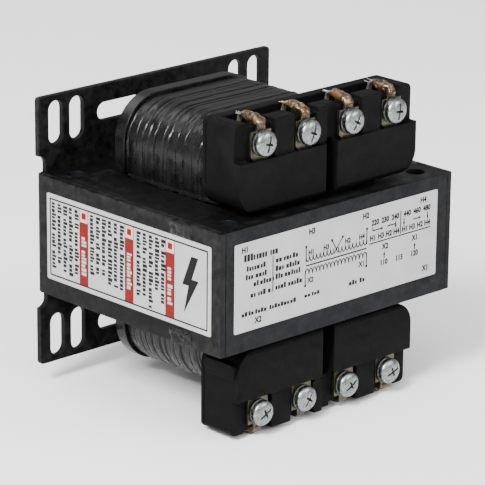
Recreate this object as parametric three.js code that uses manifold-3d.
// Industrial control transformer, open core and coil, with screw terminals.
//
// Millimetres, +Z up. The origin is the centre of the mounting plate's rear face and +Y points out of
// that face. Inside the assembly group, y is the depth behind the labelled front face of the core.
import * as THREE from 'three';
import { mergeVertices } from 'three/addons/utils/BufferGeometryUtils.js';
import Module from 'manifold-3d';

const wasm = await Module();
wasm.setup();

// ---- Driving dimensions -------------------------------------------------------------------------
const WIDTH = 85.7;              // over the bracket's side flaps
const DEPTH = 73.6;              // front face of the core to the rear of the mounting plate
const BAND = 33.5;               // height of the lamination stack and of the side flaps
const PLATE_HEIGHT = 75.8;       // height of the mounting plate
const FIT = 0.05;                // assembly gap between pieces that touch

const SHEET = 1.8;               // bracket sheet thickness
const BEND = 2.2;                // outer radius of the bracket's bends
const SLOT_WIDTH = 5;
const SLOT_LENGTH = 12;
const SLOT_HEIGHT = 30.2;        // height of the slot centres above the middle
const UPRIGHT_SLOTS = [29.4, 36.8];
const FLAT_SLOT = [6, 22];       // ends of the flat slot, from the middle
const RELIEF = { radius: 2.5, above: 2.3 };

const SEAM = 14.3;               // depth of the joint between the I stack and the E stack
const YOKE = 14.25;              // depth of the E stack's yoke
const CORE_HALF = WIDTH / 2 - SHEET - FIT;
const LEG_HALF = 14;             // half width of the centre leg
const WINDOW_HALF = 27;          // outer edge of each window
const CORE_HOLE = { radius: 2.6, x: 35, inset: 6.2 };

const WELD = { y: 15.2, width: 6.4, height: 3, bulge: 0.3, play: 0.15, recess: 0.4 };

const COIL_DROP = 0.4;           // the coil hangs on the centre leg by its tube's clearance
const COIL_FRONT = 18.8;
const COIL_REAR = 56.8;
const TUBE = { front: 15.2, halfX: 14.35, halfZ: 17.2, wall: 1 };
const LAYER_GAP = 0.1;
const LAYERS = [                 // outer half sizes and corner radius of each layer of the coil
  { name: 'secondary_winding', halfX: 19.2, halfZ: 25.2, radius: 5, material: 'copper' },
  { name: 'winding_insulation', halfX: 19.9, halfZ: 25.9, radius: 5.6, material: 'paper' },
  { name: 'primary_winding', halfX: 24.2, halfZ: 36.4, radius: 11, material: 'copper' },
  { name: 'outer_wrap', halfX: 25.3, halfZ: 37.7, radius: 12.2, material: 'wrap' },
];
const CHEEK = { front: 57, rear: 60.8, halfX: 25.4, top: 38.1, radius: 12.4, foot: 17.3 };

const BLOCK = {
  half: 32.6, front: 4, rear: 18.4, bottom: 18.4, ledge: 32.5, top: 42.6,
  heel: 6.5,                     // radius of the corners next to the core
  crown: 1.6,                    // radius of the corners away from the core
  chamfer: 1.7,                  // on the lower front edge
  wallFront: 6.4,                // the terminals stand against this wall
};
const POCKET = { half: 4.4, ledge: 0.6, floor: 31.7, wallTop: 41.4 };
const BARRIER = { front: 4.8, rear: 7, half: 3.6, at: 16 };
const MIDDLE_BARRIER = { from: -4.3, to: -0.6 };
const GROOVE = { from: -1.3, to: 2.8, rear: 8.4 };
const TROUGH = { half: 28.5, front: 9.8, rear: 15, floor: 33.5 };
const LEAD_HOLE = { half: 1.5, bottom: 35, top: 38 };
const LIP = { proud: 0.7, root: 2, front: 5, rear: 16.4, near: 22, far: 26.4 };
const BOND = { front: 6.6, rear: 13.8, foot: 17.3, half: 20 };

const TERMINALS = [-24, -8, 8, 24];
const SCREW_HEIGHT = 36.85;
const PLATE = {
  front: 5.35, rear: 6.3, half: 3.6, shoulder: 3.5, tip: 4.8, tipHalf: 2.4, top: 3.2,
  tabHalf: 2.4, tabTop: 42.5, tabRear: 9.6, hole: 1.9,
};
const CLAMP = { front: 4.35, rear: 5.25, radius: 3.65, hole: 1.95, dish: 0.3, rim: 0.5, foot: 0.8 };
const SCREW = {
  crown: 2, seat: 4.3, headRadius: 3.5, shank: 1.72, end: 10.7, point: 0.6,
  slotWidth: 0.9, slotDepth: 0.9, crossDepth: 1.5, crossArm: 1.9,
};
const HEAD_CURVE = [[0, 0], [1.5, 0.06], [2.6, 0.3], [3.2, 0.75], [3.5, 1.35]];  // radius, drop
const LEAD = { radius: 0.65, height: 36.5, rise: 13.8, crest: 43.25, end: 6.7 };

const FRONT_LABEL = { x: [-38.2, 37.2], z: [-11.3, 12.9] };
const SIDE_LABEL = { y: [3.4, 68.5], z: [-11.7, 12.6] };
const LABEL_THICKNESS = 0.15;

const SEGMENTS = 18;             // round parts
const ARC_STEPS = 3;             // rounded corners
const LEAD_STEPS = 14;
const PAST = 1;                  // how far a cutting tool reaches beyond what it cuts

// ---- Materials ----------------------------------------------------------------------------------
const material = (color, roughness, metalness) =>
  new THREE.MeshStandardMaterial({ color, roughness, metalness });

const MATERIALS = {
  bracket: material(0x1c1c1e, 0.5, 0.3),
  core: material(0x34363b, 0.5, 0.4),
  weld: material(0x55565a, 0.4, 0.8),
  plastic: material(0x1e1e1f, 0.55, 0),
  copper: material(0xa85f35, 0.4, 1),
  paper: material(0xb49a6a, 0.8, 0),
  wrap: material(0x1a1a1b, 0.3, 0),
  tin: material(0xa59a82, 0.35, 1),
  zinc: material(0xc4c8c8, 0.3, 1),
  lead: material(0xb08a50, 0.4, 0.7),
  label: material(0xd8d8d6, 0.6, 0),
};

// ---- Building blocks ----------------------------------------------------------------------------
function toSolid(geometry) {
  const bare = geometry.clone();
  bare.deleteAttribute('normal');
  bare.deleteAttribute('uv');
  const merged = mergeVertices(bare, 1e-4);
  const vertProperties = new Float32Array(merged.attributes.position.array);
  const triVerts = new Uint32Array(merged.index.array);
  return new wasm.Manifold(new wasm.Mesh({ numProp: 3, vertProperties, triVerts }));
}

function toGeometry(solid) {
  const { vertProperties, triVerts } = solid.getMesh();
  const geometry = new THREE.BufferGeometry();
  geometry.setAttribute('position', new THREE.BufferAttribute(new Float32Array(vertProperties), 3));
  geometry.setIndex(new THREE.BufferAttribute(new Uint32Array(triVerts), 1));
  geometry.computeVertexNormals();
  return geometry;
}

const join = (first, ...rest) =>
  toGeometry(rest.reduce((solid, piece) => solid.add(toSolid(piece)), toSolid(first)));

const cut = (body, ...tools) =>
  toGeometry(tools.reduce((solid, tool) => solid.subtract(toSolid(tool)), toSolid(body)));

const ordered = (a, b) => (a < b ? [a, b] : [b, a]);

function box([x0, x1], [y0, y1], [z0, z1]) {
  const geometry = new THREE.BoxGeometry(x1 - x0, y1 - y0, z1 - z0);
  geometry.translate((x0 + x1) / 2, (y0 + y1) / 2, (z0 + z1) / 2);
  return geometry;
}

const plainExtrude = (shape, depth) =>
  new THREE.ExtrudeGeometry(shape, { depth, bevelEnabled: false, curveSegments: ARC_STEPS });

// A plan outline (x, y) raised along z.
function extrudeUp(shape, [z0, z1]) {
  return plainExtrude(shape, z1 - z0).translate(0, 0, z0);
}

// A front view outline (x, z) extruded along the depth.
function extrudeBack(shape, [y0, y1]) {
  return plainExtrude(shape, y1 - y0).rotateX(Math.PI / 2).translate(0, y1, 0);
}

// A side view outline (y, z) extruded across the width.
function extrudeAcross(shape, [x0, x1]) {
  const turn = new THREE.Matrix4().makeBasis(
    new THREE.Vector3(0, 1, 0), new THREE.Vector3(0, 0, 1), new THREE.Vector3(1, 0, 0));
  return plainExtrude(shape, x1 - x0).applyMatrix4(turn).translate(x0, 0, 0);
}

function rodBack(radius, [y0, y1], x, z) {
  const geometry = new THREE.CylinderGeometry(radius, radius, y1 - y0, SEGMENTS);
  return geometry.translate(x, (y0 + y1) / 2, z);
}

function rodUp(radius, [z0, z1], x, y) {
  const geometry = new THREE.CylinderGeometry(radius, radius, z1 - z0, SEGMENTS);
  return geometry.rotateX(Math.PI / 2).translate(x, y, (z0 + z1) / 2);
}

function traceRounded(path, x0, x1, y0, y1, radius) {
  path.moveTo(x1 - radius, y0);
  path.absarc(x1 - radius, y0 + radius, radius, -Math.PI / 2, 0, false);
  path.absarc(x1 - radius, y1 - radius, radius, 0, Math.PI / 2, false);
  path.absarc(x0 + radius, y1 - radius, radius, Math.PI / 2, Math.PI, false);
  path.absarc(x0 + radius, y0 + radius, radius, Math.PI, 1.5 * Math.PI, false);
  path.closePath();
  return path;
}

const roundedRectangle = (x0, x1, y0, y1, radius) =>
  traceRounded(new THREE.Shape(), x0, x1, y0, y1, radius);

function polygon(points) {
  return new THREE.Shape(points.map(([x, y]) => new THREE.Vector2(x, y)));
}

function piece(name, geometry, look) {
  const mesh = new THREE.Mesh(geometry, MATERIALS[look]);
  mesh.name = name;
  return mesh;
}

// ---- Mounting bracket ---------------------------------------------------------------------------
// One folded sheet: a slotted plate behind the core and a flap along each side of it.
function bracketBand() {
  const half = WIDTH / 2;
  const inner = half - SHEET;
  const bendX = half - BEND;
  const bendY = DEPTH - BEND;
  const plan = new THREE.Shape();
  plan.moveTo(inner, 0);
  plan.lineTo(half, 0);
  plan.absarc(bendX, bendY, BEND, 0, Math.PI / 2, false);
  plan.absarc(-bendX, bendY, BEND, Math.PI / 2, Math.PI, false);
  plan.lineTo(-half, 0);
  plan.lineTo(-inner, 0);
  plan.absarc(-bendX, bendY, BEND - SHEET, Math.PI, Math.PI / 2, true);
  plan.absarc(bendX, bendY, BEND - SHEET, Math.PI / 2, 0, true);
  plan.closePath();
  return extrudeUp(plan, [-BAND / 2, BAND / 2]);
}

function bracketPlate() {
  const half = WIDTH / 2;
  const through = [DEPTH - SHEET, DEPTH];
  const outline = roundedRectangle(-half, half, -PLATE_HEIGHT / 2, PLATE_HEIGHT / 2, 0.8);
  const corners = [-1, 1].map((side) => box(
    ordered(side * (half - BEND), side * (half + PAST)),
    [DEPTH - SHEET - PAST, DEPTH + PAST], [-BAND / 2, BAND / 2]));
  return cut(extrudeBack(outline, through), ...corners);
}

function mountingSlots() {
  const through = [DEPTH - SHEET - PAST, DEPTH + PAST];
  const round = SLOT_WIDTH / 2;
  const slots = [];
  for (const up of [-1, 1]) {
    const middle = up * SLOT_HEIGHT;
    for (const side of [-1, 1]) {
      for (const x of UPRIGHT_SLOTS) {
        const outline = roundedRectangle(side * x - round, side * x + round,
          middle - SLOT_LENGTH / 2, middle + SLOT_LENGTH / 2, round - 0.001);
        slots.push(extrudeBack(outline, through));
      }
      const [start, end] = ordered(...FLAT_SLOT.map((x) => side * x));
      const flat = roundedRectangle(start, end, middle - round, middle + round, round - 0.001);
      slots.push(extrudeBack(flat, through));
    }
  }
  return slots;
}

function bracketReliefs() {
  const tools = [];
  for (const side of [-1, 1]) {
    for (const up of [-1, 1]) {
      const height = up * (BAND / 2 + RELIEF.above);
      const depth = [DEPTH - BEND - PAST, DEPTH + PAST];
      tools.push(rodBack(RELIEF.radius, depth, side * WIDTH / 2, height));
      const across = ordered(side * (WIDTH / 2 - SHEET - PAST), side * (WIDTH / 2 + PAST));
      const edge = ordered(up * (BAND / 2 - WELD.height), up * (BAND / 2 + PAST));
      tools.push(box(across, [WELD.y - WELD.width / 2, WELD.y + WELD.width / 2], edge));
    }
  }
  return tools;
}

function mountingBracket() {
  const body = join(bracketBand(), bracketPlate());
  return piece('mounting_bracket', cut(body, ...mountingSlots(), ...bracketReliefs()), 'bracket');
}

// ---- Core ---------------------------------------------------------------------------------------
function coreStack(name, plan, holeDepth) {
  const height = [-BAND / 2, BAND / 2];
  const holes = [-1, 1].map((side) =>
    rodUp(CORE_HOLE.radius, [-BAND, BAND], side * CORE_HOLE.x, holeDepth));
  return piece(name, cut(extrudeUp(plan, height), ...holes), 'core');
}

function core() {
  const rear = DEPTH - SHEET - FIT;
  const yoke = rear - YOKE;
  const bar = polygon([[-CORE_HALF, 0], [CORE_HALF, 0], [CORE_HALF, SEAM], [-CORE_HALF, SEAM]]);
  const front = SEAM + FIT;
  const corner = BEND - SHEET;   // the rear corners clear the bracket's inner bend
  const letterE = polygon([
    [-CORE_HALF, front], [-WINDOW_HALF, front], [-WINDOW_HALF, yoke], [-LEG_HALF, yoke],
    [-LEG_HALF, front], [LEG_HALF, front], [LEG_HALF, yoke], [WINDOW_HALF, yoke],
    [WINDOW_HALF, front], [CORE_HALF, front], [CORE_HALF, rear - corner],
    [CORE_HALF - corner, rear], [corner - CORE_HALF, rear], [-CORE_HALF, rear - corner]]);
  return [
    coreStack('core_i_stack', bar, CORE_HOLE.inset),
    coreStack('core_e_stack', letterE, rear - CORE_HOLE.inset),
  ];
}

// Short beads fill the notches in the flap edges, over the joint between the two stacks.
function weldBeads() {
  const beads = [];
  for (const [sideName, side] of [['left', -1], ['right', 1]]) {
    for (const [upName, up] of [['top', 1], ['bottom', -1]]) {
      const inner = WIDTH / 2 - SHEET + 2 * FIT;
      const face = WIDTH / 2;
      const half = WELD.width / 2 - WELD.play;
      const section = new THREE.Shape();
      section.moveTo(side * inner, -half);
      section.lineTo(side * face, -half);
      section.quadraticCurveTo(side * (face + 2 * WELD.bulge), 0, side * face, half);
      section.lineTo(side * inner, half);
      section.closePath();
      const low = BAND / 2 - WELD.height + WELD.play;
      const high = BAND / 2 - WELD.recess;
      const bead = extrudeUp(section, ordered(up * low, up * high)).translate(0, WELD.y, 0);
      beads.push(piece(`weld_bead_${sideName}_${upName}`, bead, 'weld'));
    }
  }
  return beads;
}

// ---- Coil ---------------------------------------------------------------------------------------
function sleeve(inner, outer, depth) {
  const shape = roundedRectangle(-outer.halfX, outer.halfX, -outer.halfZ, outer.halfZ, outer.radius);
  const hole = new THREE.Path();
  shape.holes.push(
    traceRounded(hole, -inner.halfX, inner.halfX, -inner.halfZ, inner.halfZ, inner.radius));
  return extrudeBack(shape, depth);
}

const grow = (size, by) => ({
  halfX: size.halfX + by, halfZ: size.halfZ + by, radius: size.radius + by,
});

function coil() {
  const group = new THREE.Group();
  const bore = { ...TUBE, radius: 0.4 };
  let inside = grow(bore, TUBE.wall);
  group.add(piece('winding_tube', sleeve(bore, inside, [TUBE.front, COIL_REAR]), 'plastic'));
  for (const layer of LAYERS) {
    const geometry = sleeve(grow(inside, LAYER_GAP), layer, [COIL_FRONT, COIL_REAR]);
    group.add(piece(layer.name, geometry, layer.material));
    inside = layer;
  }
  for (const [name, turn] of [['top', 0], ['bottom', Math.PI]]) {
    const arch = new THREE.Shape();
    const centreX = CHEEK.halfX - CHEEK.radius;
    const centreZ = CHEEK.top - CHEEK.radius;
    arch.moveTo(-CHEEK.halfX, CHEEK.foot);
    arch.lineTo(CHEEK.halfX, CHEEK.foot);
    arch.absarc(centreX, centreZ, CHEEK.radius, 0, Math.PI / 2, false);
    arch.absarc(-centreX, centreZ, CHEEK.radius, Math.PI / 2, Math.PI, false);
    arch.closePath();
    const cheek = piece(`rear_cheek_${name}`, extrudeBack(arch, [CHEEK.front, CHEEK.rear]), 'wrap');
    cheek.rotation.y = turn;
    group.add(cheek);
  }
  group.position.z = -COIL_DROP;
  return group;
}

// ---- Terminal blocks ----------------------------------------------------------------------------
// mirror is 1 or -1: the middle groove and its barrier stay on the same side in both blocks, while
// the lip changes ends, because the bottom group is turned over afterwards.
function terminalBlock(name, mirror) {
  const span = (from, to) => (mirror > 0 ? [from, to] : [-to, -from]);
  const base = new THREE.Shape();
  const heelX = BLOCK.half - BLOCK.heel;
  base.moveTo(BLOCK.half, BLOCK.ledge);
  base.lineTo(-BLOCK.half, BLOCK.ledge);
  base.absarc(-heelX, BLOCK.bottom + BLOCK.heel, BLOCK.heel, Math.PI, 1.5 * Math.PI, false);
  base.absarc(heelX, BLOCK.bottom + BLOCK.heel, BLOCK.heel, 1.5 * Math.PI, 2 * Math.PI, false);
  base.closePath();

  const crownX = BLOCK.half - BLOCK.crown;
  const upper = new THREE.Shape();
  upper.moveTo(-BLOCK.half, BLOCK.ledge - 1);
  upper.lineTo(BLOCK.half, BLOCK.ledge - 1);
  upper.absarc(crownX, BLOCK.top - BLOCK.crown, BLOCK.crown, 0, Math.PI / 2, false);
  upper.absarc(-crownX, BLOCK.top - BLOCK.crown, BLOCK.crown, Math.PI / 2, Math.PI, false);
  upper.closePath();

  const wall = [BLOCK.wallFront, BLOCK.rear];
  const solids = [extrudeBack(upper, wall)];
  const height = [BLOCK.ledge - 1, BLOCK.top];
  for (const x of [-BARRIER.at, BARRIER.at]) {
    const across = [x - BARRIER.half, x + BARRIER.half];
    solids.push(box(across, [BARRIER.front, BARRIER.rear], height));
  }
  const middle = span(MIDDLE_BARRIER.from, MIDDLE_BARRIER.to);
  solids.push(box(middle, [BARRIER.front, BARRIER.rear], height));
  const lipX = [BLOCK.half - LIP.root, BLOCK.half + LIP.proud];
  solids.push(box(lipX, [LIP.front, LIP.rear], [LIP.near, LIP.far]));
  solids.push(box([-BOND.half, BOND.half], [BOND.front, BOND.rear], [BOND.foot, BLOCK.bottom + 1]));

  const ahead = BLOCK.front - PAST;
  const lowerEdge = polygon([
    [ahead, BLOCK.bottom - PAST], [BLOCK.front + BLOCK.chamfer + PAST, BLOCK.bottom - PAST],
    [ahead, BLOCK.bottom + BLOCK.chamfer + PAST]]);
  const above = BLOCK.top + PAST;
  const tools = [
    extrudeAcross(lowerEdge, [-BLOCK.half - PAST, BLOCK.half + PAST]),
    box([-TROUGH.half, TROUGH.half], [TROUGH.front, TROUGH.rear], [TROUGH.floor, above]),
    box(span(GROOVE.from, GROOVE.to), [ahead, GROOVE.rear], [BOND.foot - PAST, BLOCK.ledge + PAST / 2]),
  ];
  for (const x of TERMINALS) {
    const across = [x - POCKET.half, x + POCKET.half];
    const floor = [POCKET.floor, BLOCK.ledge + PAST];
    tools.push(box(across, [BLOCK.front + POCKET.ledge, BLOCK.wallFront], floor));
    tools.push(box(across, [BLOCK.front, TROUGH.front + PAST / 2], [POCKET.wallTop, above]));
    tools.push(rodBack(PLATE.hole + 2 * FIT, [BLOCK.front, TROUGH.front + PAST], x, SCREW_HEIGHT));
    const leadHole = [x - LEAD_HOLE.half, x + LEAD_HOLE.half];
    const rearWall = [TROUGH.rear - PAST, BLOCK.rear + PAST];
    tools.push(box(leadHole, rearWall, [LEAD_HOLE.bottom, LEAD_HOLE.top]));
  }
  const body = join(extrudeBack(base, [BLOCK.front, BLOCK.rear]), ...solids);
  return piece(name, cut(body, ...tools), 'plastic');
}

// A flat plate with a chamfered tip towards the core and a tab that bends back over the wall.
function terminalPlate(name, x) {
  const low = SCREW_HEIGHT - PLATE.shoulder;
  const tip = SCREW_HEIGHT - PLATE.tip;
  const high = SCREW_HEIGHT + PLATE.top;
  const thickness = PLATE.rear - PLATE.front;
  const face = polygon([
    [x - PLATE.tipHalf, tip], [x + PLATE.tipHalf, tip], [x + PLATE.half, low],
    [x + PLATE.half, high], [x - PLATE.half, high], [x - PLATE.half, low]]);
  const bend = new THREE.Shape();
  bend.moveTo(PLATE.front, high - 1);
  bend.lineTo(PLATE.rear, high - 1);
  bend.lineTo(PLATE.rear, PLATE.tabTop - thickness);
  bend.lineTo(PLATE.tabRear, PLATE.tabTop - thickness);
  bend.lineTo(PLATE.tabRear, PLATE.tabTop);
  bend.absarc(PLATE.front + thickness, PLATE.tabTop - thickness, thickness, Math.PI / 2, Math.PI, false);
  bend.closePath();
  const body = join(extrudeBack(face, [PLATE.front, PLATE.rear]),
    extrudeAcross(bend, [x - PLATE.tabHalf, x + PLATE.tabHalf]));
  const hole = rodBack(PLATE.hole, [PLATE.front - 1, PLATE.rear + 1], x, SCREW_HEIGHT);
  return piece(name, cut(body, hole), 'tin');
}

function turned(profile) {
  return new THREE.LatheGeometry(profile.map(([r, y]) => new THREE.Vector2(r, y)), SEGMENTS);
}

// A dished round washer held on the screw: its rim leans towards the plate to grip the wire.
function wireClamp(name, x) {
  const { front, rear, radius, hole, dish, rim, foot } = CLAMP;
  const profile = [
    [hole, rear - dish], [hole, front], [radius - rim, front], [radius, front + dish], [radius, rear],
    [radius - foot, rear], [radius - foot - rim, rear - dish], [hole, rear - dish]];
  const clamp = piece(name, turned(profile), 'zinc');
  clamp.position.set(x, 0, SCREW_HEIGHT);
  return clamp;
}

// Pan head screw with a combined slot and cross recess.
function terminalScrew(name, x, turn) {
  const { crown, seat, headRadius, shank, end, point, slotWidth, slotDepth, crossDepth, crossArm } = SCREW;
  const head = HEAD_CURVE.map(([radius, drop]) => [radius, crown + drop]);
  const profile = [...head, [headRadius, seat], [shank, seat], [shank, end - point],
    [shank - point, end], [0, end]];
  const half = slotWidth / 2;
  const cross = [crown - PAST, crown + crossDepth];
  const geometry = cut(turned(profile),
    box([-headRadius - PAST, headRadius + PAST], [crown - PAST, crown + slotDepth], [-half, half]),
    box([-half, half], cross, [-crossArm, crossArm]),
    box([-slotWidth, slotWidth], cross, [-slotWidth, slotWidth]));
  const screw = piece(name, geometry, 'zinc');
  screw.rotation.y = turn;
  screw.position.set(x, 0, SCREW_HEIGHT);
  return screw;
}

// A stripped winding end, from its hole in the rear wall up the trough and over onto the tab.
function leadWire(name, x) {
  const { radius, height, rise, crest, end } = LEAD;
  const route = new THREE.CatmullRomCurve3([
    [x, BLOCK.rear - 0.2, height], [x, TROUGH.rear + 0.6, height], [x, rise + 0.1, height + 1],
    [x, rise, height + 4], [x, rise - 0.6, crest - 0.6], [x, rise - 2.2, crest + 0.1],
    [x, PLATE.tabRear, crest], [x, end, crest]].map((point) => new THREE.Vector3(...point)));
  const section = new THREE.Shape();
  section.absarc(0, 0, radius, 0, 2 * Math.PI, false);
  const geometry = new THREE.ExtrudeGeometry(section,
    { steps: LEAD_STEPS, extrudePath: route, curveSegments: 4 });
  return piece(name, geometry, 'lead');
}

const LEADS = { top: [0, 1, 2, 3], bottom: [0, 3] };       // the outer bottom terminals only
const SLOT_TURNS = { top: [-0.9, -1.1, -0.75, -1.3], bottom: [0.5, 0.95, 0.55, 0.35] };

function terminalSet(level, mirror) {
  const group = new THREE.Group();
  group.add(terminalBlock(`terminal_block_${level}`, mirror));
  TERMINALS.forEach((x, place) => {
    const index = mirror > 0 ? place : TERMINALS.length - 1 - place;
    const label = `${level}_${index + 1}`;
    group.add(terminalPlate(`terminal_plate_${label}`, x));
    group.add(wireClamp(`wire_clamp_${label}`, x));
    group.add(terminalScrew(`terminal_screw_${label}`, x, SLOT_TURNS[level][index]));
    if (LEADS[level].includes(index)) {
      group.add(leadWire(`lead_wire_${label}`, x));
    }
  });
  group.position.z = -COIL_DROP;
  group.rotation.y = mirror > 0 ? 0 : Math.PI;
  return group;
}

// ---- Labels -------------------------------------------------------------------------------------
function labels() {
  const front = box(FRONT_LABEL.x, [-FIT - LABEL_THICKNESS, -FIT], FRONT_LABEL.z);
  const face = -WIDTH / 2 - FIT;
  const side = box([face - LABEL_THICKNESS, face], SIDE_LABEL.y, SIDE_LABEL.z);
  return [piece('front_label', front, 'label'), piece('side_label', side, 'label')];
}

// ---- Assembly -----------------------------------------------------------------------------------
const group = new THREE.Group();
group.add(mountingBracket(), ...core(), ...weldBeads(), coil());
group.add(terminalSet('top', 1), terminalSet('bottom', -1), ...labels());
group.position.y = -DEPTH;

export default group;
